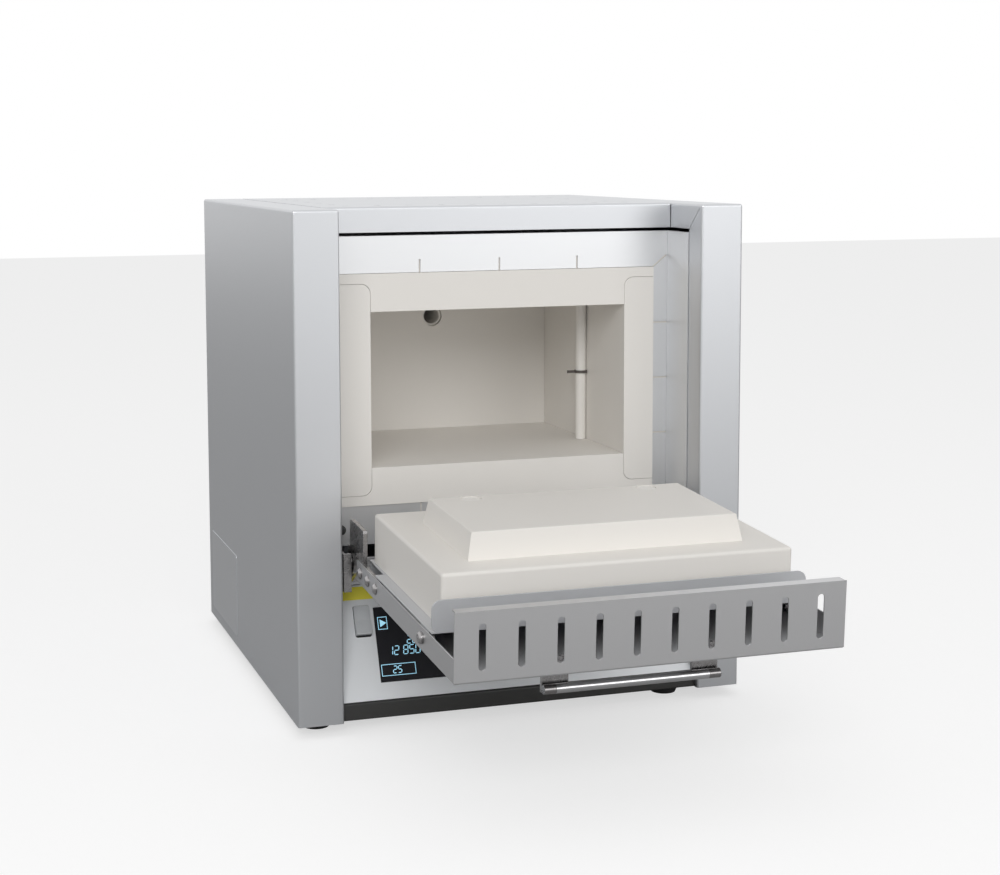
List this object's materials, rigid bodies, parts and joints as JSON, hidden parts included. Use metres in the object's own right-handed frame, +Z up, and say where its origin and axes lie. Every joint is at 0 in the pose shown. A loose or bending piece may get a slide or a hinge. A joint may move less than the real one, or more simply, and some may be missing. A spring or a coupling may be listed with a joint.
{
  "type": "muffle furnace",
  "caption": "Bench muffle furnace with a fibre-lined chamber, a fold-down door with a slotted front, a sloped control panel and a rear exhaust tube.",
  "frame": {"origin": "on the surface that the feet stand on, below the middle of the whole length with the door open", "axes": "+Z up, -Y out of the chamber mouth towards the user, +X to the user's right"},
  "size_m": [0.3854, 0.6658, 0.42],
  "materials": {
    "case_steel": "fine vertical brushing",
    "rear_steel": "plain rolled sheet",
    "base_steel": "satin dark grey",
    "recess_steel": "fine horizontal brushing",
    "door_steel": "fine horizontal brushing",
    "tray_steel": "satin light grey",
    "zinc": "plain",
    "polished_steel": "polished",
    "plate_foil": "satin, bare",
    "fibre": "matte vacuum-formed fibre",
    "board": "matte board",
    "oxide": "smooth unglazed",
    "heating_alloy": "oxidised",
    "dark_wire": "dark oxide",
    "panel_paint": "satin light grey",
    "accent_yellow": "satin yellow",
    "display_glass": "gloss black",
    "rocker_plastic": "satin grey",
    "black_plastic": "fine texture",
    "white_plastic": "fine texture",
    "rubber": "matte"
  },
  "bodies": {
    "casing": {"side_panel_left": "case_steel", "side_panel_right": "case_steel", "top_cover": "case_steel", "rear_panel": "rear_steel", "rear_panel_screws": "zinc", "base_pan": "base_steel", "feet": "rubber", "foot_screws": "zinc", "shelf_deck": "rear_steel", "recess_side_left": "recess_steel", "recess_side_right": "recess_steel", "face_plate": "recess_steel", "blank_plate": "plate_foil", "muffle_case": "rear_steel", "case_supports": "zinc", "backing_boards": "board", "muffle_roof": "fibre", "muffle_floor": "fibre", "muffle_back": "fibre", "heater_module_left": "fibre", "heater_module_right": "fibre", "heating_strips": "heating_alloy", "heating_terminals": "zinc", "sensor_tube": "oxide", "thermocouple": "zinc", "tube_clip": "dark_wire", "exhaust_tube": "oxide", "exhaust_flange": "zinc", "control_panel": "panel_paint", "display_window": "display_glass", "control_unit": "black_plastic", "accent_strip": "accent_yellow", "switch_body": "black_plastic", "power_relay": "black_plastic", "terminal_strip": "white_plastic", "cable_gland": "black_plastic", "hinge_bracket_left": "zinc", "hinge_bracket_right": "zinc", "bracket_screws": "zinc", "hinge_pins": "zinc", "door_bumpers": "rubber"},
    "door": {"door_shell": "door_steel", "door_tray": "tray_steel", "door_block": "fibre", "door_plug": "fibre", "plug_anchors": "oxide", "hinge_lever_left": "zinc", "hinge_lever_right": "zinc", "lever_rivets": "zinc", "tray_screws": "zinc", "handle_bar": "polished_steel", "handle_straps": "zinc", "handle_screws": "zinc", "handle_caps": "black_plastic"},
    "rocker": {"switch_rocker": "rocker_plastic"}
  },
  "joints": [
    {"name": "door_hinge", "type": "hinge", "parent": "casing", "child": "door", "pos_m": [0, -0.05733, 0.1374], "axis": [-1, 0, 0], "range_deg": [0, 93]},
    {"name": "rocker_pivot", "type": "hinge", "parent": "casing", "child": "rocker", "pos_m": [-0.1306, -0.0357, 0.08079], "axis": [1, 0, 0], "range_deg": [0, 16]}
  ]
}
